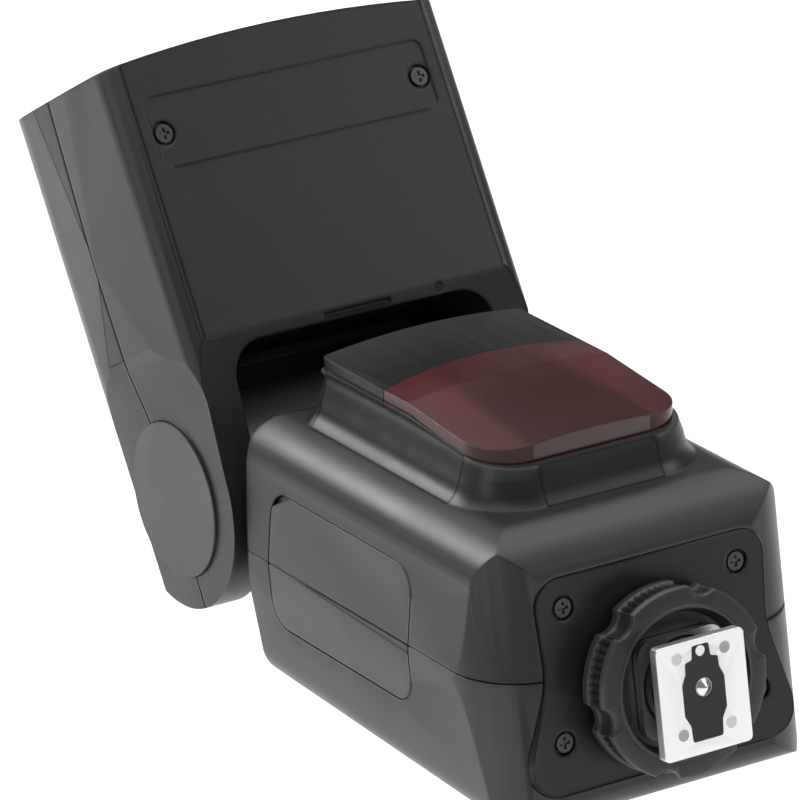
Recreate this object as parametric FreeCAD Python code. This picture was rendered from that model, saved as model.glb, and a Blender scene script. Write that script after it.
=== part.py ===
"""Speedlight flash: a hot-shoe camera flash with a swivelling, tilting zoom head.

The flash lies on its back. Millimetres, in the part's own frame:
  origin  centre of the shoe foot's outer face
  +Y      from the foot along the body to the head
  +Z      out of the front, where the red assist lens is
  +X      to the right, seen from the foot
The foot, the back and the head lean a little in this frame, so each is drawn in a frame of its
own and then placed: foot frame (y inward from the shoe face), rear frame (z inward from the back
face), head frame (z along the head, y towards its top, origin on the tilt axis).
"""
import FreeCAD
import Part
import math
import os

Vec = FreeCAD.Vector
X_AXIS = Vec(1, 0, 0)
Y_AXIS = Vec(0, 1, 0)
Z_AXIS = Vec(0, 0, 1)

# --- placing of the three tilted frames -------------------------------------------------------
foot_lean = 8.1            # degrees, shoe face against the body's length
rear_lean = 2.05           # degrees, back face against the body's length
head_lean = 29.0           # degrees, head back from the vertical
hinge_y = 122.8            # tilt axis above the foot
hinge_z = 5.9              # tilt and swivel axes' height
rear_y = 20.0              # where the rear frame starts
rear_z = -24.6

# --- general fits -----------------------------------------------------------------------------
wall = 2.0                 # moulded shells
gap = 0.3                  # between pieces that move past each other
seam = 0.15                # between fixed pieces
shaft_clearance = 0.06     # running fits, radial

# --- foot -------------------------------------------------------------------------------------
foot_width = 18.6          # ISO 518 accessory shoe
foot_length = 21.0
foot_thick = 2.0
neck_half_width = 6.1      # passes between the rails of the shoe
plate_face = 14.13         # base plate's outer face, from the shoe face
plate_thick = 2.0
ring_z = 1.1               # stem and ring axis
stem_radius = 8.3
ring_radius = 17.5
ring_front = 5.4
ring_back = 12.9
contact_z = 1.5
contact_radius = 1.7
pin_z = 8.2
pin_radius = 1.0
rivet_radius = 1.1
rivet_x = 5.1
rivet_rows = (7.65, -6.25)
plate_screws = ((-18.5, 17.7), (18.5, 17.7), (-20.9, -6.7), (20.9, -6.7))

# --- body -------------------------------------------------------------------------------------
body_half_width = 34.4
body_end = 101.2           # end face under the neck
parting_z = 3.14
front_z = 29.0             # front face beside the lens
foot_corner = 14.0         # plan radius beside the base plate
end_corner = 3.0
pedestal_z = 38.4
lens_edge_z = 40.9
slope_y = 62.0             # the lens slopes down towards the foot from here
lens_drop = 2.6
crown = 1.5                # rise of the lens and strip towards the middle
lens_y = (34.5, 70.0)
strip_y = (70.0, 91.3)
joint_bow = 2.4            # the joint between them curves towards the head
lens_half_width = 21.6

# --- battery ----------------------------------------------------------------------------------
pack_y = (43.5, 91.5)
pack_z = (-8.9, 17.3)
pack_end = 30.2
pack_corner = 5.0
cell_radius = 9.1
cell_length = 60.3
bay_wall = 1.2

# --- back: y along the face from the rear frame's start ----------------------------------------
window_y = (38.0, 64.0)
window_half_width = 25.0
function_x = (-19.5, -6.5, 6.5, 19.5)
function_y = 32.0
dial_y = 14.0
dial_radius = 11.5
set_radius = 4.2
side_button_x = 22.0
side_button_y = 23.0
switch_y = 10.0
rear_screw_places = ((-22.5, 3.0), (22.5, 3.0), (-22.0, 68.5), (22.0, 68.5))

# --- neck -------------------------------------------------------------------------------------
post_radius = 16.0
turntable_radius = 20.0
drum_radius = 17.3
drum_half_width = 28.0
shaft_radius = 4.0

# --- head: y from the tilt axis towards the top, z along the head -------------------------------
head_half_width = 38.0
hinge_half_width = 35.6
under_y = -24.3
under_front_y = -22.0        # the underside slopes to here at the front
top_y = 24.0
cheek_radius = 21.2
cheek_x = 28.5
head_front = 81.4
front_bow = 280.0          # radius of the convex front rim
head_parting = 1.1
cavity_z = 23.5            # top of the opening that the neck swings in
top_lip_z = 5.0
cap_radius = 15.0
cap_face = 36.2
cap_thick = 1.4
head_screw_x = 28.1
head_screw_z = 65.0
carriage_z = 35.0
carriage_travel = 26.0
rod_x = 28.5
rod_y = -14.0
rod_radius = 1.5


# --- drawing helpers --------------------------------------------------------------------------
def box(x, y, z):
    """A block between two limits on each axis."""
    size = (x[1] - x[0], y[1] - y[0], z[1] - z[0])
    return Part.makeBox(*size, Vec(x[0], y[0], z[0]))


def rod(axis, centre, radius, ends):
    """A cylinder along an axis; centre gives the other two coordinates in X, Y, Z order."""
    length = ends[1] - ends[0]
    if axis is X_AXIS:
        base = Vec(ends[0], centre[0], centre[1])
    elif axis is Y_AXIS:
        base = Vec(centre[0], ends[0], centre[1])
    else:
        base = Vec(centre[0], centre[1], ends[0])
    return Part.makeCylinder(radius, length, base, axis)


def tube(axis, centre, outer, inner, ends):
    return rod(axis, centre, outer, ends).cut(rod(axis, centre, inner, ends))


def rounded_wire(points, radii, lift):
    """A closed outline whose corners are tangent arcs; lift turns a flat point into a vector."""
    count = len(points)
    starts = []
    ends = []
    middles = []
    for i in range(count):
        here = Vec(points[i][0], points[i][1], 0)
        before = Vec(points[i - 1][0], points[i - 1][1], 0).sub(here).normalize()
        after_point = points[(i + 1) % count]
        after = Vec(after_point[0], after_point[1], 0).sub(here).normalize()
        if radii[i] == 0:
            starts.append(here)
            ends.append(here)
            middles.append(None)
            continue
        half = before.getAngle(after) / 2
        reach = radii[i] / math.tan(half)
        inward = before.add(after).normalize()
        starts.append(here + before * reach)
        ends.append(here + after * reach)
        middles.append(here + inward * (radii[i] / math.sin(half) - radii[i]))
    edges = []
    for i in range(count):
        if middles[i] is not None:
            arc = Part.Arc(lift(starts[i]), lift(middles[i]), lift(ends[i]))
            edges.append(arc.toShape())
        following = starts[(i + 1) % count]
        if ends[i].sub(following).Length > 1e-6:
            edges.append(Part.makeLine(lift(ends[i]), lift(following)))
    return Part.Wire(edges)


def prism(axis, points, radii, ends, inset=0.0):
    """A rounded outline pushed along an axis; inset shrinks the outline, below zero grows it."""
    if not isinstance(radii, (list, tuple)):
        radii = [radii] * len(points)
    if axis is X_AXIS:
        wire = rounded_wire(points, radii, lambda p: Vec(ends[0], p.x, p.y))
    elif axis is Y_AXIS:
        wire = rounded_wire(points, radii, lambda p: Vec(p.x, ends[0], p.y))
    else:
        wire = rounded_wire(points, radii, lambda p: Vec(p.x, p.y, ends[0]))
    if inset:
        wire = wire.makeOffset2D(-inset)
    return Part.Face(wire).extrude(axis * (ends[1] - ends[0]))


def rectangle(u, v):
    return [(u[0], v[0]), (u[1], v[0]), (u[1], v[1]), (u[0], v[1])]


def mirrored(shape):
    return shape.mirror(Vec(0, 0, 0), X_AXIS)


def both_sides(shape):
    return Part.makeCompound([shape, mirrored(shape)])


def cut_all(shape, tools):
    for tool in tools:
        shape = shape.cut(tool)
    return shape


def fuse_all(shapes):
    whole = shapes[0]
    for shape in shapes[1:]:
        whole = whole.fuse(shape)
    return whole.removeSplitter()


def placed(shape, origin, degrees):
    """Put a shape drawn in a tilted frame into the part's frame."""
    result = shape.copy()
    turn = FreeCAD.Rotation(X_AXIS, degrees)
    result.Placement = FreeCAD.Placement(origin, turn).multiply(result.Placement)
    return result


def on_foot(shape):
    return placed(shape, Vec(0, 0, 0), -foot_lean)


def on_rear(shape):
    return placed(shape, Vec(0, rear_y, rear_z), rear_lean)


def on_head(shape):
    return placed(shape, Vec(0, hinge_y, hinge_z), -head_lean)


def save(name, shape):
    """Write one node as its plain solids."""
    solids = shape.Solids
    whole = solids[0] if len(solids) == 1 else Part.makeCompound(solids)
    whole.exportStep(os.path.join("parts", name + ".step"))
    print(name, len(solids), "solids", round(whole.Volume), "mm3", whole.isValid())


def screw(axis, centre, face, head_radius, head_thick, shank_radius, shank_length, inward=1):
    """A pan-head screw with a cross recess, its head's outer face at the given place."""
    head = sorted((face, face + inward * head_thick))
    shank = sorted((face + inward * head_thick, face + inward * (head_thick + shank_length)))
    body = rod(axis, centre, head_radius, head).fuse(rod(axis, centre, shank_radius, shank))
    arm = 0.62 * head_radius
    slit = 0.16 * head_radius
    depth = sorted((face - inward * 0.1, face + inward * 0.45 * head_thick))
    for across in ((arm, slit), (slit, arm)):
        u = (centre[0] - across[0], centre[0] + across[0])
        v = (centre[1] - across[1], centre[1] + across[1])
        groove = box(u, depth, v) if axis is Y_AXIS else box(u, v, depth)
        body = body.cut(groove)
    return body


# --- foot -------------------------------------------------------------------------------------
def insert_outline():
    """The contact insert's wavy outline with an ear for the lock pin, x against z."""
    right = [(3.2, -8.1), (3.4, -5.0), (4.5, -3.0), (4.5, 2.6), (3.6, 4.6), (3.5, 6.6),
             (2.0, 6.9), (1.8, 9.4)]
    left = [(-x, z) for x, z in reversed(right)]
    return right + left


def make_foot():
    outline = insert_outline()
    contact_hole = rod(Y_AXIS, (0, contact_z), contact_radius + shaft_clearance, (-1, 9.0))
    pin_hole = rod(Y_AXIS, (0, pin_z), pin_radius + shaft_clearance, (-1, 9.0))
    rivets = [rod(Y_AXIS, (x, z), rivet_radius, (0, foot_thick))
              for x in (-rivet_x, rivet_x) for z in rivet_rows]

    half = (foot_width / 2, foot_length / 2)
    plate = prism(Y_AXIS, rectangle((-half[0], half[0]), (-half[1], half[1])), 1.0,
                  (0, foot_thick))
    plate = plate.cut(prism(Y_AXIS, outline, 0.5, (0, foot_thick)))
    save("shoe_plate", on_foot(cut_all(plate, rivets)))
    save("shoe_rivets", on_foot(Part.makeCompound(rivets)))

    insert = prism(Y_AXIS, outline, 0.5, (0, foot_thick))
    save("contact_insert", on_foot(cut_all(insert, [contact_hole, pin_hole])))

    shoulder = foot_thick + 2.2
    bridge = box((-neck_half_width, neck_half_width), (foot_thick, shoulder), (-9.6, 9.6))
    column = rod(Y_AXIS, (0, ring_z), stem_radius, (shoulder, plate_face))
    stem = cut_all(fuse_all([bridge, column]), [contact_hole, pin_hole])
    save("foot_stem", on_foot(stem))

    pin = rod(Y_AXIS, (0, pin_z), pin_radius, (0.1, 7.0))
    save("lock_pin", on_foot(pin))
    barrel = rod(Y_AXIS, (0, contact_z), contact_radius, (0, 4.6))
    tip = Part.makeCone(contact_radius * 0.92, 0.15, 1.1, Vec(0, 0, contact_z), Vec(0, -1, 0))
    save("center_contact", on_foot(barrel.fuse(tip)))
    spring = tube(Y_AXIS, (0, contact_z), 1.15, 0.75, (4.6, 8.0))
    save("contact_spring", on_foot(spring))

    reach = 9.2
    washer_z = (ring_z - reach, ring_z + reach)
    washer = prism(Y_AXIS, rectangle((-reach, reach), washer_z), 3.0, (6.2, 7.7))
    washer = washer.cut(rod(Y_AXIS, (0, ring_z), stem_radius + gap, (6, 8)))
    save("pressure_plate", on_foot(washer))
    save("lock_ring", on_foot(lock_ring()))
    make_base_plate()


def lock_ring():
    """The locking ring: two notched rims, a ribbed waist and a tapered recess in front."""
    centre = (0, ring_z)
    floor = 8.1
    front_rim = rod(Y_AXIS, centre, ring_radius, (ring_front, ring_front + 2.0))
    waist = rod(Y_AXIS, centre, ring_radius - 1.1, (ring_front + 2.0, ring_back - 2.2))
    back_rim = rod(Y_AXIS, centre, ring_radius, (ring_back - 2.2, ring_back))
    ring = fuse_all([front_rim, waist, back_rim])
    ring = ring.cut(rod(Y_AXIS, centre, stem_radius + gap, (ring_front, ring_back)))
    recess = Part.makeCone(13.6, 12.6, floor - ring_front, Vec(0, ring_front, ring_z), Y_AXIS)
    ring = ring.cut(recess)
    for k in range(6):
        angle = math.radians(60 * k + 12)
        place = (19.3 * math.cos(angle), ring_z + 19.3 * math.sin(angle))
        ring = ring.cut(rod(Y_AXIS, place, 3.4, (ring_front, ring_back)))
    return ring


def base_plate_outline():
    """The base plate's waisted outline, x against z in the foot frame."""
    right = [(27.9, -16.2), (27.9, -9.5), (23.6, 5.4), (24.6, 23.4)]
    left = [(-x, z) for x, z in reversed(right)]
    radii = [5.0, 6.0, 20.0, 5.0, 5.0, 20.0, 6.0, 5.0]
    return right + left, radii


def make_base_plate():
    outline, radii = base_plate_outline()
    plate = prism(Y_AXIS, outline, radii, (plate_face, plate_face + plate_thick))
    plate = plate.cut(rod(Y_AXIS, (0, ring_z), 4.0, (plate_face, plate_face + plate_thick)))
    screws = []
    for place in plate_screws:
        plate = plate.cut(rod(Y_AXIS, place, 2.3, (plate_face, plate_face + 1.2)))
        plate = plate.cut(rod(Y_AXIS, place, 1.0, (plate_face, plate_face + plate_thick)))
        screws.append(screw(Y_AXIS, place, plate_face + 0.3, 1.7, 0.9, 0.95, 4.4))
    save("foot_base_plate", on_foot(plate))
    save("base_screws", on_foot(Part.makeCompound(screws)))


# --- body shells ------------------------------------------------------------------------------
def rear_height(y):
    """Height of the back face at a place along the body."""
    return rear_z + (y - rear_y) * math.tan(math.radians(rear_lean))


def foot_face(z):
    """Where the body's foot end lies at a height."""
    lean = math.radians(foot_lean)
    return plate_face / math.cos(lean) + z * math.tan(lean)


def body_block(inset=0.0):
    """The body without its pedestal; inset gives the space inside the walls."""
    width = body_half_width
    tall = 60.0
    rear_part = [(-width, tall), (-width, 25.0), (-width + 1.8, 0), (width - 1.8, 0),
                 (width, 25.0), (width, tall)]
    rear = on_rear(prism(Y_AXIS, rear_part, [0, 8, 6, 6, 8, 0], (-40, 120), inset))
    front_part = [(-width, parting_z), (-width + 2.4, front_z), (width - 2.4, front_z),
                  (width, parting_z), (width, -60), (-width, -60)]
    front = prism(Y_AXIS, front_part, [0, 10, 10, 0, 0, 0], (-40, 150), inset)
    foot_plan = rectangle((-width, width), (plate_face, 160))
    foot_end = on_foot(prism(Z_AXIS, foot_plan, [foot_corner, foot_corner, 0, 0], (-80, 80),
                             inset))
    end_plan = rectangle((-width, width), (-60, body_end))
    far_end = prism(Z_AXIS, end_plan, [0, 0, end_corner, end_corner], (-60, 60), inset)
    low = -25.0
    side = [(foot_face(low), rear_height(foot_face(low))), (96.0, rear_height(96.0)),
            (body_end, parting_z), (body_end, front_z), (foot_face(front_z), front_z)]
    profile = prism(X_AXIS, side, [6, 2.5, 0, 5, 11], (-50, 50), inset)
    block = rear.common(front)
    for limit in (foot_end, far_end, profile):
        block = block.common(limit)
    return block


def pedestal(inset=0.0):
    """The raised base of the lens and strip; its sides run out in a hollow curve at the foot."""
    half = lens_half_width + 0.9 - inset
    near = 32.6 + inset
    far = 92.4 - inset
    curve = ((22.0, 5.8), (27.2, 5.0), (28.2, 3.7), (29.0, 2.7), (30.0, 1.8), (31.5, 1.0),
             (34.0, 0.35), (pedestal_z - inset, 0.0))
    sections = []
    for z, flare in curve:
        plan = rectangle((-half - flare, half + flare), (near - flare, far + flare))
        corners = [10 + flare, 10 + flare, 3 + flare, 3 + flare]
        sections.append(rounded_wire(plan, corners, lambda p, z=z: Vec(p.x, p.y, z)))
    flared = Part.makeLoft(sections, True, False)
    low_end = pedestal_z - lens_drop
    side = [(20.0, 22.0), (100.0, 22.0), (100.0, pedestal_z), (slope_y, pedestal_z),
            (near, low_end), (20.0, low_end)]
    return flared.common(prism(X_AXIS, side, 0, (-60, 60), inset))


def pack_outline(grow=0.0):
    y = (pack_y[0] - grow, pack_y[1] + grow)
    z = (pack_z[0] - grow, pack_z[1] + grow)
    return rectangle(y, z)


def flap_outline(grow=0.0):
    return rectangle((30.8 - grow, 41.4 + grow), (5.6 - grow, 16.0 + grow))


def make_body_shells(block):
    space = body_block(wall)
    shell = block.fuse(pedestal()).cut(space).cut(pedestal(wall))
    outline, radii = base_plate_outline()
    plate_opening = on_foot(prism(Y_AXIS, outline, radii, (0, plate_face + 4), -seam))
    pack_opening = prism(X_AXIS, pack_outline(), pack_corner + gap, (-60, -20), -gap)
    lens_opening = box((-19.0, 19.0), (38.5, 67.0), (front_z - 6, pedestal_z + 1))
    post_hole = rod(Y_AXIS, (0, hinge_z), post_radius + gap, (90, 110))
    shell = cut_all(shell, [plate_opening, pack_opening, lens_opening, post_hole])
    flap_recess = prism(X_AXIS, flap_outline(), 2.0, (20, 60), -gap)
    jack_hole = rod(X_AXIS, (36.1, 10.8), 2.6, (20, 60))
    flap_pocket = flap_recess.cut(body_block(1.2))
    shell = shell.cut(flap_pocket).cut(jack_hole)
    hinge_relief = rod(Y_AXIS, (flap_axis_x(), 5.6), 1.9, (30.5, 41.7))
    shell = shell.cut(hinge_relief)

    back = plate_face + plate_thick
    ledge = prism(Y_AXIS, outline, radii, (back, back + 1.5), -1.5)
    middle = prism(Y_AXIS, rectangle((-14, 14), (-11, 15)), 3.0, (back, back + 1.5))
    bosses = [on_foot(ledge.cut(middle)).common(block)]
    for x, z in plate_screws:
        boss = rod(Y_AXIS, (x, z), 2.5, (plate_face + plate_thick, plate_face + 7.5))
        bosses.append(on_foot(boss).common(block))
    holes = [on_foot(rod(Y_AXIS, place, 1.0, (plate_face, plate_face + 6.4)))
             for place in plate_screws]
    posts = []
    for x, y in rear_screw_places:
        posts.append(on_rear(rod(Z_AXIS, (x, y), 2.4, (1.0, 7.0))))
    shell = fuse_all([shell] + bosses + posts)
    shell = cut_all(shell, holes)
    for x, y in rear_screw_places:
        shell = shell.cut(on_rear(rod(Z_AXIS, (x, y), 2.2, (-1, 1.2))))
        shell = shell.cut(on_rear(rod(Z_AXIS, (x, y), 1.0, (-1, 6.4))))

    seam_band = box((-60, 60), (-60, 200), (parting_z - 0.2, parting_z + 0.2))
    shell = shell.cut(seam_band.cut(body_block(0.4)))
    above = box((-60, 60), (-60, 200), (parting_z, 100))
    below = box((-60, 60), (-60, 200), (-100, parting_z))
    save("front_shell", shell.common(above))
    save("rear_shell", cut_all(shell.common(below), rear_openings()))
    screws = [screw(Z_AXIS, place, 0.3, 1.7, 0.9, 0.95, 4.6) for place in rear_screw_places]
    save("rear_screws", on_rear(Part.makeCompound(screws)))


def rear_openings():
    """Cut-outs in the back for the window, the buttons, the dial and the switch."""
    deep = (-2, wall + 0.9)
    window = prism(Z_AXIS, rectangle((-window_half_width, window_half_width), window_y), 2.0,
                   deep, -seam)
    tools = [window]
    for x in function_x:
        tools.append(prism(Z_AXIS, function_outline(x), 1.0, deep, -gap))
    for side in (-1, 1):
        tools.append(rod(Z_AXIS, (side * side_button_x, side_button_y), 3.6 + gap, deep))
    tools.append(rod(Z_AXIS, (0, dial_y), dial_radius + gap, deep))
    tools.append(prism(Z_AXIS, rectangle((19.2, 24.8), (switch_y - 2.3, switch_y + 5.8)), 1.0,
                       deep))
    return [on_rear(tool) for tool in tools]


def make_front_window():
    """The red assist lens, the plain cover strip behind it and the lamps under the lens."""
    crown_radius = (lens_half_width ** 2 + crown ** 2) / (2 * crown)
    sink = crown - crown_radius
    slope = math.degrees(math.atan2(lens_drop, slope_y - 33.6))
    level = rod(Y_AXIS, (0, lens_edge_z + sink), crown_radius, (0, 150))
    sloped = rod(Y_AXIS, (0, sink), crown_radius, (-150, 150))
    sloped = placed(sloped, Vec(0, slope_y, lens_edge_z), slope)
    top = level.common(sloped)
    half = lens_half_width
    bow = (half ** 2 + joint_bow ** 2) / (2 * joint_bow)
    joint_centre = lens_y[1] + joint_bow - bow
    behind = rod(Z_AXIS, (0, joint_centre), bow, (30, 60))
    lens_plan = rectangle((-half, half), (lens_y[0], strip_y[1]))
    whole = prism(Z_AXIS, lens_plan, [9, 9, 1, 1], (35.0, 50)).common(top).cut(pedestal())
    lens = whole.common(rod(Z_AXIS, (0, joint_centre), bow - seam / 2, (30, 60)))
    strip = whole.cut(behind)
    hollow_plan = rectangle((-half + 1.8, half - 1.8), (lens_y[0] + 1.8, lens_y[1] - 1.8))
    hollow = prism(Z_AXIS, hollow_plan, [7, 7, 1, 1], (30.0, 50))
    hollow = hollow.common(top.translated(Vec(0, 0, -1.8)))
    save("assist_lens", lens.cut(hollow))
    save("front_cover_strip", strip)
    bar = box((-17, 17), (46, 58), (33.2, 34.4))
    lamps = [rod(Z_AXIS, (x, 52), 2.3, (34.4, 37.4)) for x in (-9, 9)]
    save("assist_lamps", fuse_all([bar] + lamps))


# --- battery ----------------------------------------------------------------------------------
def make_battery(block):
    """The battery pack with its finger notch, its two cells and the bay it slides into."""
    middle_y = sum(pack_y) / 2
    middle_z = sum(pack_z) / 2
    case = prism(X_AXIS, pack_outline(), pack_corner, (-60, pack_end)).common(block)
    face = -31.4
    room = prism(X_AXIS, pack_outline(), pack_corner, (face, pack_end - 1.0), 1.6)
    contacts = box((pack_end - 2, pack_end + 1), (middle_y - 9, middle_y + 9), (0, 8))
    corner = [(84.6, 17.9), (92.6, 17.9), (92.6, 13.4)]
    notch = prism(X_AXIS, corner, 0, (-60, -32.4))
    seam_line = box((-60, -20), (0, 120), (parting_z - 0.2, parting_z + 0.2))
    case = case.cut(seam_line.cut(body_block(0.4)))
    case = cut_all(case, [room, contacts, notch])
    save("battery_case", case)
    cells = []
    for side in (-1, 1):
        centre = (middle_y + side * (cell_radius + 0.4), middle_z)
        can = rod(X_AXIS, centre, cell_radius, (face + 0.1, face + cell_length - 1.2))
        button = rod(X_AXIS, centre, 2.8, (face + cell_length - 1.2, face + cell_length + 0.1))
        cells.append(can.fuse(button))
    save("battery_cells", Part.makeCompound(cells))

    room_side = gap + 0.1
    outer = prism(X_AXIS, pack_outline(), pack_corner, (-32.0, 32.5), -room_side - bay_wall)
    inner = prism(X_AXIS, pack_outline(), pack_corner, (-33.0, pack_end + 0.2), -room_side)
    limit = body_block(wall)
    bay = outer.cut(inner).common(limit)
    blades = []
    for offset in (-6, 0, 6):
        span = (middle_y + offset - 1.2, middle_y + offset + 1.2)
        blades.append(box((pack_end - 0.7, pack_end + 0.2), span, (1.5, 6.5)))
    save("battery_bay", bay)
    save("bay_contacts", Part.makeCompound(blades))


# --- boards, capacitor, display and ports --------------------------------------------------------
def flap_axis_x():
    """The port cover's hinge axis lies in the outer face, at the cover's lower edge."""
    slope = 2.4 / (front_z - parting_z)
    return body_half_width - slope * (5.6 - parting_z) - 0.2


def make_inside(block):
    room = body_block(wall + 1.0)
    capacitor = rod(X_AXIS, (31.4, -2.6), 9.6, (-27, 18))
    pins = [rod(X_AXIS, (31.4, z), 0.6, (18, 21)) for z in (-6, 1)]
    save("main_capacitor", fuse_all([capacitor] + pins))
    board = box((-26, 30), (25.8, 41.6), (14.2, 15.8)).common(room)
    transformer = box((-16, -2), (26.5, 38), (15.8, 24.0))
    save("main_board", board.fuse(transformer))
    jack = box((24.4, 31.4), (32.6, 39.6), (7.6, 14.2))
    jack = jack.cut(rod(X_AXIS, (36.1, 10.8), 1.3, (25.4, 32)))
    save("sync_jack", jack)
    cover = prism(X_AXIS, flap_outline(), 1.7, (20, 60)).common(block)
    cover = cover.cut(body_block(1.2 - 0.2))
    grip = prism(X_AXIS, rectangle((34.6, 37.6), (14.2, 16.0)), 0.4, (33.6, 34.0))
    save("port_cover", cover.cut(grip))

    panel = rectangle((-window_half_width + 1, window_half_width - 1),
                      (window_y[0] + 1, window_y[1] - 1))
    save("lcd_panel", on_rear(prism(Z_AXIS, panel, 0.8, (2.9, 5.2))))
    window = rectangle((-window_half_width, window_half_width), window_y)
    save("lcd_window", on_rear(prism(Z_AXIS, window, 2.0, (0.25, 1.75))))
    control = on_rear(box((-29, 29), (2, 74), (8.0, 9.4))).common(room)
    save("control_board", control)


# --- buttons, dial and switch on the back ---------------------------------------------------------
def function_outline(x):
    return rectangle((x - 4.5, x + 4.5), (function_y - 2.5, function_y + 2.5))


def make_controls():
    face = 0.15
    lip = (wall + 0.7, wall + 1.6)
    for number, x in enumerate(function_x, 1):
        cap = prism(Z_AXIS, function_outline(x), 1.0, (face, lip[1]))
        flange = prism(Z_AXIS, function_outline(x), 1.0, lip, -0.9)
        save("function_button_%d" % number, on_rear(cap.fuse(flange)))
    for name, side in (("mode_button", -1), ("test_button", 1)):
        centre = (side * side_button_x, side_button_y)
        cap = rod(Z_AXIS, centre, 3.6, (face, lip[1]))
        save(name, on_rear(cap.fuse(rod(Z_AXIS, centre, 4.5, lip))))
    centre = (0, dial_y)
    dial = rod(Z_AXIS, centre, dial_radius, (face, lip[1])).fuse(
        rod(Z_AXIS, centre, dial_radius + 1.0, lip))
    dial = dial.cut(rod(Z_AXIS, centre, set_radius + gap, (-1, 6)))
    for k in range(24):
        angle = math.radians(15 * k)
        spot = (8.2 * math.cos(angle), dial_y + 8.2 * math.sin(angle))
        dial = dial.cut(rod(Z_AXIS, spot, 0.55, (0, face + 0.4)))
    save("select_dial", on_rear(dial))
    centre_cap = rod(Z_AXIS, centre, set_radius, (face, 4.2))
    save("set_button", on_rear(centre_cap.fuse(rod(Z_AXIS, centre, set_radius + 1.0,
                                                   (4.2, 5.0)))))
    knob = box((19.5, 24.5), (switch_y - 2, switch_y + 2), (face, lip[0]))
    skirt = box((18.6, 25.4), (switch_y - 3, switch_y + 3), lip)
    save("power_switch", on_rear(knob.fuse(skirt)))


# --- neck -------------------------------------------------------------------------------------
def make_neck():
    axis = (0, hinge_z)
    table = (body_end + gap, body_end + 2.2)
    post = rod(Y_AXIS, axis, post_radius, (94.0, table[0]))
    disc = rod(Y_AXIS, axis, turntable_radius, table)
    base = fuse_all([post, disc]).cut(rod(Y_AXIS, axis, 6.0, (90, 110)))
    save("swivel_base", base)
    save("swivel_retainer", tube(Y_AXIS, axis, 17.8, post_radius, (94.0, 95.4)))
    drum = rod(X_AXIS, (hinge_y, hinge_z), drum_radius, (-drum_half_width, drum_half_width))
    arm = box((-25, 25), (table[1], hinge_y), (hinge_z - 12.5, hinge_z + 12.5))
    bore = both_sides(rod(X_AXIS, (hinge_y, hinge_z), shaft_radius, (20, 60)))
    wiring = rod(Y_AXIS, axis, 6.0, (90, hinge_y - 6))
    save("neck_block", fuse_all([drum, arm]).cut(bore).cut(wiring))
    shaft = rod(X_AXIS, (hinge_y, hinge_z), shaft_radius, (20, 34.4))
    save("tilt_shafts", both_sides(shaft))


# --- head -------------------------------------------------------------------------------------
def under_at(z):
    """The underside's height at a place along the head."""
    return under_y + (under_front_y - under_y) / (head_front - 26.0) * (z - 26.0)


def head_block(inset=0.0, front=True):
    """The head's outer shape; inset gives the space inside the walls."""
    reach = 150.0 if not front else head_front + 4
    wide = head_half_width
    narrow = hinge_half_width
    slope = (under_front_y - under_y) / (head_front - 26.0)
    face = [(-narrow, -40), (narrow, -40), (narrow, 14), (wide - 0.6, 26), (wide, 46),
            (wide - 0.5, reach), (-wide + 0.5, reach), (-wide, 46), (-wide + 0.6, 26),
            (-narrow, 14)]
    outline = prism(Y_AXIS, face, [0, 0, 14, 30, 90, 0, 0, 90, 30, 14], (-60, 60), inset)
    side = [(-cheek_radius, 0), (under_y, 26), (under_y + slope * (reach - 26), reach),
            (top_y - 0.8, reach), (top_y, 50), (cheek_radius, 12), (cheek_radius, 0)]
    length = prism(X_AXIS, side, [0, 12, 0, 0, 60, 60, 0], (-60, 60), inset)
    round_end = rod(X_AXIS, (0, 0), cheek_radius - inset, (-60, 60))
    section = [(-wide + 1.3, -22.6), (wide - 1.3, -22.6), (wide, head_parting),
               (wide - 1.5, top_y), (-wide + 1.5, top_y), (-wide, head_parting)]
    across = prism(Z_AXIS, section, [4, 4, 0, 12, 12, 0], (-60, reach), inset)
    swept = across.copy()
    angle = math.atan(slope)
    swept.rotate(Vec(0, -22.6, 66), X_AXIS, -math.degrees(angle))
    across = swept
    block = length.fuse(round_end).common(outline).common(across)
    if front:
        bow = rod(Y_AXIS, (0, head_front - front_bow), front_bow, (-60, 60))
        block = block.common(bow)
    return block


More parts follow.
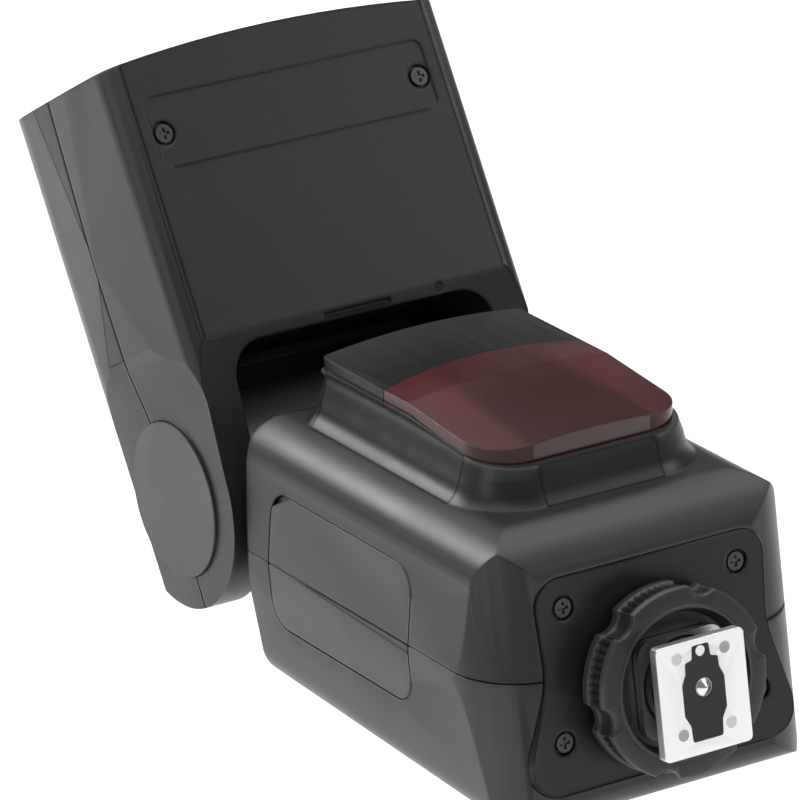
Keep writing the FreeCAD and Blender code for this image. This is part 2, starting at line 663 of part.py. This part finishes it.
def make_head_shells():
    space = head_block(wall, front=False).common(box((-60, 60), (-60, 60), (cavity_z + wall, 200)))
    opening = rectangle((-cheek_x, cheek_x), (-60, cavity_z))
    swing = prism(Y_AXIS, opening, [0, 0, 7, 7], (-60, cheek_radius - wall))
    swing = swing.fuse(box((-cheek_x, cheek_x), (-60, 60), (-60, top_lip_z)))
    shell = head_block().cut(space).cut(swing)
    shaft_hole = rod(X_AXIS, (0, 0), shaft_radius + shaft_clearance, (-60, 60))
    shell = shell.cut(shaft_hole)
    seat_x = cap_face - cap_thick
    seat = rod(X_AXIS, (0, 0), cap_radius + seam, (seat_x, 60))
    shell = shell.cut(seat).cut(mirrored(seat))
    for side in (-1, 1):
        place = (side * head_screw_x, head_screw_z)
        skin = under_at(head_screw_z)
        shell = shell.cut(rod(Y_AXIS, place, 2.4, (skin - 1, skin + 1.2)))
        shell = shell.cut(rod(Y_AXIS, place, 1.05, (skin, skin + 5)))
    shell = shell.cut(rod(Y_AXIS, (18.0, 24.9), 0.95, (under_y - 1, under_y + 1.1)))
    label = rectangle((-30.4, 30.4), (58.3, 72.2))
    panel = prism(Y_AXIS, label, 2.0, (under_y - 1, 0))
    shell = shell.cut(panel.cut(head_block(0.3)))
    arc_slot = box((-7.4, 7.4), (under_y - 1, under_y + 0.7), (24.4, 25.1))
    shell = shell.cut(arc_slot)
    seam_band = box((-60, 60), (head_parting - 0.2, head_parting + 0.2), (-60, 200))
    shell = shell.cut(seam_band.cut(head_block(0.4)))
    under = box((-60, 60), (-60, head_parting), (-60, 200))
    over = box((-60, 60), (head_parting, 60), (-60, 200))
    save("head_lower_shell", on_head(shell.common(under)))
    save("head_upper_shell", on_head(shell.common(over)))


def make_head_fittings():
    cap = rod(X_AXIS, (0, 0), cap_radius, (cap_face - cap_thick, cap_face))
    save("hinge_caps", on_head(both_sides(cap)))
    screws = [screw(Y_AXIS, (x, head_screw_z), under_at(head_screw_z) + 0.3, 1.75, 0.9, 0.98, 3.0)
              for x in (-head_screw_x, head_screw_x)]
    save("head_screws", on_head(Part.makeCompound(screws)))
    sensor = rod(Y_AXIS, (18.0, 24.9), 0.9, (under_y + 0.2, under_y + 1.1))
    save("sensor_window", on_head(sensor))

    bezel = prism(Z_AXIS, rectangle((-32.6, 32.6), (-19.4, 20.8)), 3.0, (72.5, 79.4))
    window = prism(Z_AXIS, rectangle((-29.4, 29.4), (-16.7, 11.9)), 2.0, (70, 90))
    rebate = prism(Z_AXIS, rectangle((-30.7, 30.7), (-18.0, 13.2)), 2.0, (76.5, 90))
    panel_slot = box((-29.0, 29.0), (14.5, 16.5), (70, 90))
    card_slot = box((-29.0, 29.0), (17.8, 19.2), (70, 90))
    bezel = cut_all(bezel, [window, rebate, panel_slot, card_slot])
    save("front_bezel", on_head(bezel))
    lens = prism(Z_AXIS, rectangle((-30.5, 30.5), (-17.8, 13.0)), 1.8, (76.6, 78.8))
    save("fresnel_panel", on_head(lens))
    save("wide_panel", on_head(box((-28.5, 28.5), (14.9, 16.1), (36, 79.0))))
    save("bounce_card", on_head(box((-28.5, 28.5), (18.2, 18.8), (34, 79.0))))
    save("head_board", on_head(box((-24, 24), (-20.1, -18.7), (29, 68))))


def make_zoom():
    """The reflector and tube on a carriage that a screw drives along a rod."""
    thick = 3.0
    carriage = box((-31.2, 31.2), (-17.0, 10.0), (carriage_z, carriage_z + thick))
    for side in (-1, 1):
        boss = rod(Z_AXIS, (side * rod_x, rod_y), 2.7, (carriage_z, carriage_z + 7))
        carriage = carriage.fuse(boss)
    for side in (-1, 1):
        hole = rod(Z_AXIS, (side * rod_x, rod_y), rod_radius + shaft_clearance,
                   (carriage_z - 1, carriage_z + 9))
        carriage = carriage.cut(hole)
    save("zoom_carriage", on_head(carriage))
    low = carriage_z + thick
    trough = box((-23, 23), (-14.0, 9.0), (low, low + 11.5))
    trough = trough.cut(rod(X_AXIS, (-2.5, low + 12.6), 10.6, (-21.8, 21.8)))
    tube_hole = rod(X_AXIS, (-2.5, low + 6.4), 2.2, (-60, 60))
    save("reflector", on_head(trough.cut(tube_hole)))
    save("xenon_tube", on_head(rod(X_AXIS, (-2.5, low + 6.4), 2.0, (-25.5, 25.5))))
    save("guide_rod", on_head(rod(Z_AXIS, (-rod_x, rod_y), rod_radius, (cavity_z + wall, 72.5))))
    save("lead_screw", on_head(rod(Z_AXIS, (rod_x, rod_y), rod_radius, (31.4, 72.3))))
    motor = rod(Z_AXIS, (rod_x, rod_y), 4.3, (cavity_z + wall, 31.0))
    save("zoom_motor", on_head(motor))


def main():
    os.makedirs("parts", exist_ok=True)
    block = body_block()
    make_foot()
    make_body_shells(block)
    make_front_window()
    make_battery(block)
    make_inside(block)
    make_controls()
    make_neck()
    make_head_shells()
    make_head_fittings()
    make_zoom()


main()
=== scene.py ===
"""Looks of the speedlight flash: materials, the knurled lock ring, floor, lights and camera."""
import math

import bpy
from mathutils import Matrix, Vector


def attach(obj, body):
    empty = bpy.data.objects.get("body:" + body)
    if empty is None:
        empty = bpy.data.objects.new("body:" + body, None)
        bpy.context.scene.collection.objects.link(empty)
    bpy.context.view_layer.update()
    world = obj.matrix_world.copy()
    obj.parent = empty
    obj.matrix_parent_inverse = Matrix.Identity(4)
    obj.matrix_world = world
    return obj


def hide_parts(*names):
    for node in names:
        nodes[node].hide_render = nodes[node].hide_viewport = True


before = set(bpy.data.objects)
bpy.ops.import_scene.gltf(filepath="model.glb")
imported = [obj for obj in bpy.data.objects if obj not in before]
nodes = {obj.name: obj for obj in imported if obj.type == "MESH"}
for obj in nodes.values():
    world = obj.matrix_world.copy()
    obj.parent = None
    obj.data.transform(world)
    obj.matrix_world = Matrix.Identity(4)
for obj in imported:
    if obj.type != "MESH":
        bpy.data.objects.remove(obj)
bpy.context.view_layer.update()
MM = 0.001
FOOT_LEAN = math.radians(8.1)    # the foot's axis leans from the row's Y axis


# ---------------------------------------------------------------- materials
NOISE_BAND = (0.3, 0.7)          # the part of a noise value's range that is used
SLOW_SCALE = 55.0                # noise scale of the slow colour and gloss change
SLOW_SHADES = (0.82, 1.2)        # darkest and palest shade of the slow change, times the colour
FLECK_SHARE = 0.45               # most that a fleck covers the colour below it
FLECK_LIFT = 0.01
EDGE_HIGHLIGHT_BAND = (0.51, 0.58)         # pointiness from where the painted edge highlight starts to where it is full
# gain and lift of the painted highlight's paler colour on edges
EDGE_HIGHLIGHT_GAIN = 1.4
EDGE_HIGHLIGHT_LIFT = 0.015
GLOSS_SPREAD = 0.12              # share by which roughness changes either way
EDGE_SAMPLES = 4


def new_material(name):
    mat = bpy.data.materials.new(name)
    mat.use_nodes = True
    tree = mat.node_tree
    shader = tree.nodes["Principled BSDF"]
    return mat, tree, shader


def noise(tree, coord, scale, detail=3.0):
    node = tree.nodes.new("ShaderNodeTexNoise")
    node.inputs["Scale"].default_value = scale
    node.inputs["Detail"].default_value = detail
    tree.links.new(coord.outputs["Object"], node.inputs["Vector"])
    return node


def map_range(tree, source, band):
    """A value that runs from 0 to 1 as the source crosses the band."""
    node = tree.nodes.new("ShaderNodeMapRange")
    node.inputs["From Min"].default_value = band[0]
    node.inputs["From Max"].default_value = band[1]
    tree.links.new(source, node.inputs["Value"])
    return node


def spread(tree, source, low, high):
    """A noise value mapped onto a range."""
    node = map_range(tree, source, NOISE_BAND)
    node.inputs["To Min"].default_value = low
    node.inputs["To Max"].default_value = high
    return node.outputs["Result"]


def shade(colour, gain, lift=0.0):
    """A colour made paler or darker, with its alpha."""
    return (*[min(1, c * gain + lift) for c in colour], 1)


def colour_mix(tree, factor, over):
    """A mix towards the colour `over`; the caller links or sets the colour below it."""
    node = tree.nodes.new("ShaderNodeMix")
    node.data_type = "RGBA"
    node.inputs["B"].default_value = over
    tree.links.new(factor, node.inputs["Factor"])
    return node


def moulded(name, colour, rough, grain=4200.0, bump=0.35, depth=0.03, edge=0.3, fleck_and_highlight_gain=1.6,
            metallic=0.0, coat=0.0, transmission=0.0, ior=1.5, specular=0.5):
    """Grained surface: fine sparkle, slow colour change, and soft edges made slightly paler by a
    painted highlight.
    """
    mat, tree, shader = new_material(name)
    coord = tree.nodes.new("ShaderNodeTexCoord")
    fine = noise(tree, coord, grain, 2.0)
    slow = noise(tree, coord, SLOW_SCALE, 4.0)
    tint = colour_mix(tree, slow.outputs["Fac"], shade(colour, SLOW_SHADES[1]))
    tint.inputs["A"].default_value = shade(colour, SLOW_SHADES[0])
    fleck = colour_mix(tree, spread(tree, fine.outputs["Fac"], 0.0, FLECK_SHARE),
                       shade(colour, fleck_and_highlight_gain, FLECK_LIFT))
    tree.links.new(tint.outputs["Result"], fleck.inputs["A"])
    # Painted highlight: convex edges, found by pointiness, are given a paler colour.
    point = tree.nodes.new("ShaderNodeNewGeometry")
    edge_highlight_mask = map_range(tree, point.outputs["Pointiness"], EDGE_HIGHLIGHT_BAND)
    rim = colour_mix(tree, edge_highlight_mask.outputs["Result"], shade(colour, fleck_and_highlight_gain * EDGE_HIGHLIGHT_GAIN, EDGE_HIGHLIGHT_LIFT))
    tree.links.new(fleck.outputs["Result"], rim.inputs["A"])
    tree.links.new(rim.outputs["Result"], shader.inputs["Base Color"])
    gloss = spread(tree, slow.outputs["Fac"], rough * (1 - GLOSS_SPREAD),
                   min(1, rough * (1 + GLOSS_SPREAD)))
    tree.links.new(gloss, shader.inputs["Roughness"])
    soft = tree.nodes.new("ShaderNodeBevel")
    soft.samples = EDGE_SAMPLES
    soft.inputs["Radius"].default_value = edge * MM
    relief = tree.nodes.new("ShaderNodeBump")
    relief.inputs["Strength"].default_value = bump
    relief.inputs["Distance"].default_value = depth * MM
    tree.links.new(fine.outputs["Fac"], relief.inputs["Height"])
    tree.links.new(soft.outputs["Normal"], relief.inputs["Normal"])
    tree.links.new(relief.outputs["Normal"], shader.inputs["Normal"])
    shader.inputs["Metallic"].default_value = metallic
    shader.inputs["Coat Weight"].default_value = coat
    shader.inputs["Transmission Weight"].default_value = transmission
    shader.inputs["IOR"].default_value = ior
    shader.inputs["Specular IOR Level"].default_value = specular
    return mat


# Each material's fleck gain sets how pale its grain flecks are, and also how pale its painted
# edge highlight is.
SHELL = moulded("shell_plastic", (0.0075, 0.0077, 0.0082), 0.36, edge=0.9, fleck_and_highlight_gain=2.6,
                specular=0.36)
DARK = moulded("dark_plastic", (0.007, 0.007, 0.008), 0.42, bump=0.25, specular=0.3)
RING = moulded("ring_plastic", (0.012, 0.012, 0.013), 0.40, grain=3000.0, bump=0.45, edge=0.15,
               fleck_and_highlight_gain=2.2)
STRIP = moulded("strip_gloss", (0.005, 0.005, 0.006), 0.26, bump=0.03, specular=0.18)
LENS = moulded("lens_red", (0.036, 0.0008, 0.002), 0.18, bump=0.02, fleck_and_highlight_gain=1.5,
               transmission=0.30, ior=1.45, specular=0.3)
SHOE = moulded("shoe_metal", (0.62, 0.62, 0.63), 0.34, grain=1500.0, bump=0.12, fleck_and_highlight_gain=1.2,
               metallic=1.0)
RIVET = moulded("rivet_metal", (0.40, 0.40, 0.41), 0.42, grain=1500.0, bump=0.2, fleck_and_highlight_gain=1.2,
                metallic=1.0)
BRIGHT = moulded("contact_metal", (0.75, 0.73, 0.68), 0.14, grain=1500.0, bump=0.05, fleck_and_highlight_gain=1.1,
                 metallic=1.0)
SCREW = moulded("screw_black", (0.06, 0.06, 0.063), 0.30, bump=0.1, edge=0.12, metallic=0.7)
INSERT = moulded("insert_plastic", (0.010, 0.010, 0.011), 0.60, grain=1800.0, bump=0.7,
                 depth=0.06)
CAP = moulded("cap_plastic", (0.013, 0.0133, 0.014), 0.46, edge=0.5, fleck_and_highlight_gain=2.2)
RUBBER = moulded("button_rubber", (0.016, 0.016, 0.017), 0.62, bump=0.4)
WINDOW = moulded("display_window", (0.02, 0.022, 0.024), 0.07, bump=0.01, coat=0.6)
DISPLAY = moulded("display_grey", (0.16, 0.19, 0.16), 0.35, bump=0.05)
BOARD = moulded("board_green", (0.012, 0.07, 0.035), 0.35, grain=900.0, bump=0.2)
CELL = moulded("cell_can", (0.35, 0.37, 0.39), 0.35, grain=900.0, bump=0.1, metallic=0.8)
SLEEVE = moulded("capacitor_sleeve", (0.015, 0.018, 0.024), 0.25, bump=0.05)
CLEAR = moulded("clear_panel", (0.82, 0.84, 0.84), 0.16, grain=700.0, bump=0.5, fleck_and_highlight_gain=1.0,
                transmission=0.75, ior=1.49)
CARD = moulded("white_card", (0.78, 0.78, 0.76), 0.6, fleck_and_highlight_gain=1.0)
MIRROR = moulded("reflector_metal", (0.72, 0.73, 0.74), 0.16, grain=900.0, bump=0.1, fleck_and_highlight_gain=1.0,
                 metallic=1.0)
GLASS = moulded("tube_glass", (0.85, 0.9, 0.92), 0.05, bump=0.01, fleck_and_highlight_gain=1.0, transmission=0.9)

# Nodes that are not named here are of dark plastic, apart from the function buttons.
FINISH = {
    "front_shell": SHELL, "rear_shell": SHELL, "foot_base_plate": SHELL, "battery_case": SHELL,
    "neck_block": SHELL, "head_lower_shell": SHELL, "head_upper_shell": SHELL,
    "hinge_caps": CAP, "assist_lens": LENS, "front_cover_strip": STRIP, "sensor_window": STRIP,
    "shoe_plate": SHOE, "shoe_rivets": RIVET, "pressure_plate": SHOE, "contact_insert": INSERT,
    "lock_pin": BRIGHT, "center_contact": BRIGHT, "contact_spring": BRIGHT,
    "bay_contacts": BRIGHT, "base_screws": SCREW, "rear_screws": SCREW, "head_screws": SCREW,
    "lcd_window": WINDOW, "lcd_panel": DISPLAY, "main_board": BOARD, "control_board": BOARD,
    "head_board": BOARD, "battery_cells": CELL, "main_capacitor": SLEEVE,
    "port_cover": RUBBER, "mode_button": RUBBER, "test_button": RUBBER, "set_button": RUBBER,
    "fresnel_panel": CLEAR, "wide_panel": CLEAR, "bounce_card": CARD, "reflector": MIRROR,
    "xenon_tube": GLASS, "assist_lamps": GLASS, "guide_rod": SHOE, "lead_screw": SHOE,
    "zoom_motor": SHOE, "tilt_shafts": SHOE, "select_dial": RING, "power_switch": RING,
}
for name, obj in nodes.items():
    finish = RUBBER if name.startswith("function_button") else FINISH.get(name, DARK)
    obj.data.materials.clear()
    obj.data.materials.append(finish)


# ---------------------------------------------------------------- lock ring, in millimetres
RING_CENTRE_Z = 1.1
RIM_RADIUS = 17.45
WAIST_RADIUS = 16.25             # at the foot of the ribs
RIB_HEIGHT = 0.95
RIB_COUNT = 72
RIM_OVER_RIBS = 0.35             # least that the rims stand above the ribs
NOTCH_COUNT = 6
NOTCH_TURN = math.radians(12)    # of the first notch from the X axis
NOTCH_REACH = 19.3               # from the ring's axis to a notch's centre
NOTCH_RADIUS = 3.4
BORE_RADIUS = 8.7
BACK_Y = 12.85
RING_STEPS = 720                 # points round the ring, ten to a rib
SHARP_ANGLE = math.radians(35)


def foot_point(x, y, z):
    """A point of the foot frame, in millimetres, in the row frame, in metres."""
    c, s = math.cos(FOOT_LEAN), math.sin(FOOT_LEAN)
    return (x * MM, (y * c + z * s) * MM, (-y * s + z * c) * MM)


def ring_edge(angle, full):
    """The ring's outer radius with its thumb notches."""
    step = 2 * math.pi / NOTCH_COUNT
    off = (angle - NOTCH_TURN + step / 2) % step - step / 2
    side = NOTCH_REACH * math.sin(off)
    if abs(side) >= NOTCH_RADIUS:
        return full
    bottom = NOTCH_REACH * math.cos(off) - math.sqrt(NOTCH_RADIUS ** 2 - side ** 2)
    return min(full, bottom)


def ring_profile(rim, waist):
    """Section of the ring as (radius, y): tapered front, rim, ribbed waist, rim, flat back."""
    front = [(BORE_RADIUS, 8.1), (12.5, 8.1), (13.4, 5.75), (13.6, 5.42), (13.95, 5.42),
             (14.2, 5.62)]
    front_rim = [(rim - 0.7, 5.62), (rim - 0.15, 5.8), (rim, 6.2), (rim, 7.1),
                 (rim - 0.2, 7.35)]
    ribs = [(waist, 7.6), (waist, 10.5)]
    back_rim = [(rim - 0.2, 10.75), (rim, 11.0), (rim, 12.4), (rim - 0.3, BACK_Y)]
    return front + front_rim + ribs + back_rim + [(BORE_RADIUS, BACK_Y)]


def ring_rows():
    """The section's points at each step round the ring."""
    rows = []
    for i in range(RING_STEPS):
        angle = 2 * math.pi * i / RING_STEPS
        rim = ring_edge(angle, RIM_RADIUS)
        phase = (i * RIB_COUNT / RING_STEPS) % 1.0
        rib = RIB_HEIGHT * (1 - abs(2 * phase - 1))
        waist = min(WAIST_RADIUS + rib, rim - RIM_OVER_RIBS)
        rows.append([foot_point(r * math.cos(angle), y, RING_CENTRE_Z + r * math.sin(angle))
                     for r, y in ring_profile(rim, waist)])
    return rows


def make_ring():
    rows = ring_rows()
    count = len(rows[0])
    verts = [p for row in rows for p in row]
    faces = []
    for i in range(RING_STEPS):
        j = (i + 1) % RING_STEPS
        for k in range(count):
            m = (k + 1) % count
            faces.append((i * count + k, i * count + m, j * count + m, j * count + k))
    mesh = bpy.data.meshes.new("lock_ring_knurled")
    mesh.from_pydata(verts, [], faces)
    mesh.update()
    mesh.materials.append(RING)
    obj = bpy.data.objects.new("lock_ring_knurled", mesh)
    bpy.context.scene.collection.objects.link(obj)
    bpy.context.view_layer.objects.active = obj
    obj.select_set(True)
    bpy.ops.object.mode_set(mode="EDIT")
    bpy.ops.mesh.select_all(action="SELECT")
    bpy.ops.mesh.normals_make_consistent(inside=False)
    bpy.ops.object.mode_set(mode="OBJECT")
    obj.select_set(False)
    for poly in mesh.polygons:
        poly.use_smooth = True
    mesh.set_sharp_from_angle(angle=SHARP_ANGLE)
    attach(obj, "ring")
    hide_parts("lock_ring")


make_ring()


# ---------------------------------------------------------------- floor, light, camera, in metres
FLOOR_Z = -0.125
FLOOR_HALF = 9.0
FLOOR_GREY = 0.93
PART_CENTRE = (0.0, 0.08, 0.02)
OVERHEAD_X, OVERHEAD_Y, OVERHEAD_Z = 0.1, 0.6, 2.4
WORLD_STRENGTH = 0.22
CAMERA_PLACE = (-0.621, -0.91156, 0.47855)
FOCAL_LENGTH = 306.47            # in millimetres
SENSOR_WIDTH = 36.0              # in millimetres


def make_floor():
    mesh = bpy.data.meshes.new("floor")
    z, s = FLOOR_Z, FLOOR_HALF
    mesh.from_pydata([(-s, -s, z), (s, -s, z), (s, s, z), (-s, s, z)], [], [(0, 1, 2, 3)])
    mat, tree, shader = new_material("floor_white")
    coord = tree.nodes.new("ShaderNodeTexCoord")
    soft = noise(tree, coord, 3.0)
    tree.links.new(spread(tree, soft.outputs["Fac"], 0.55, 0.65), shader.inputs["Roughness"])
    shader.inputs["Base Color"].default_value = (FLOOR_GREY, FLOOR_GREY, FLOOR_GREY, 1)
    shader.inputs["Specular IOR Level"].default_value = 0.1
    mesh.materials.append(mat)
    obj = bpy.data.objects.new("floor", mesh)
    bpy.context.scene.collection.objects.link(obj)


def area_light(name, place, size, power, aim=PART_CENTRE):
    data = bpy.data.lights.new(name, "AREA")
    data.shape = "RECTANGLE"
    data.size, data.size_y = size
    data.energy = power
    obj = bpy.data.objects.new(name, data)
    obj.location = place
    obj.rotation_euler = (Vector(aim) - Vector(place)).to_track_quat("-Z", "Y").to_euler()
    bpy.context.scene.collection.objects.link(obj)


def make_world():
    world = bpy.data.worlds.new("studio")
    world.use_nodes = True
    background = world.node_tree.nodes["Background"]
    background.inputs["Color"].default_value = (1, 1, 1, 1)
    background.inputs["Strength"].default_value = WORLD_STRENGTH
    bpy.context.scene.world = world
    bpy.context.scene.view_settings.view_transform = "Standard"


def make_camera():
    """The camera before the foot, to the part's left and above it; its axes are fitted."""
    data = bpy.data.cameras.new("camera")
    data.sensor_width = SENSOR_WIDTH
    data.lens = FOCAL_LENGTH
    data.clip_start = 0.05
    data.clip_end = 60.0
    obj = bpy.data.objects.new("camera", data)
    right = Vector((0.84616, -0.53219, -0.02786))
    up = Vector((0.21222, 0.28854, 0.93365))
    back = Vector((-0.48885, -0.79594, 0.35709))
    turn = Matrix((right, up, back)).transposed().to_4x4()
    obj.matrix_world = Matrix.Translation(CAMERA_PLACE) @ turn
    bpy.context.scene.collection.objects.link(obj)
    bpy.context.scene.camera = obj


make_floor()
area_light("overhead", (OVERHEAD_X, OVERHEAD_Y, OVERHEAD_Z), (4.6, 4.0), 105.0,
           (OVERHEAD_X, OVERHEAD_Y, 0.0))
area_light("back_left", (-0.7, 1.1, 0.75), (0.45, 0.6), 11.0)
area_light("left_low", (-1.5, -0.3, 0.30), (0.3, 0.8), 2.4)
area_light("right_front", (1.1, -0.7, 0.8), (0.5, 0.5), 4.0)
make_world()
make_camera()
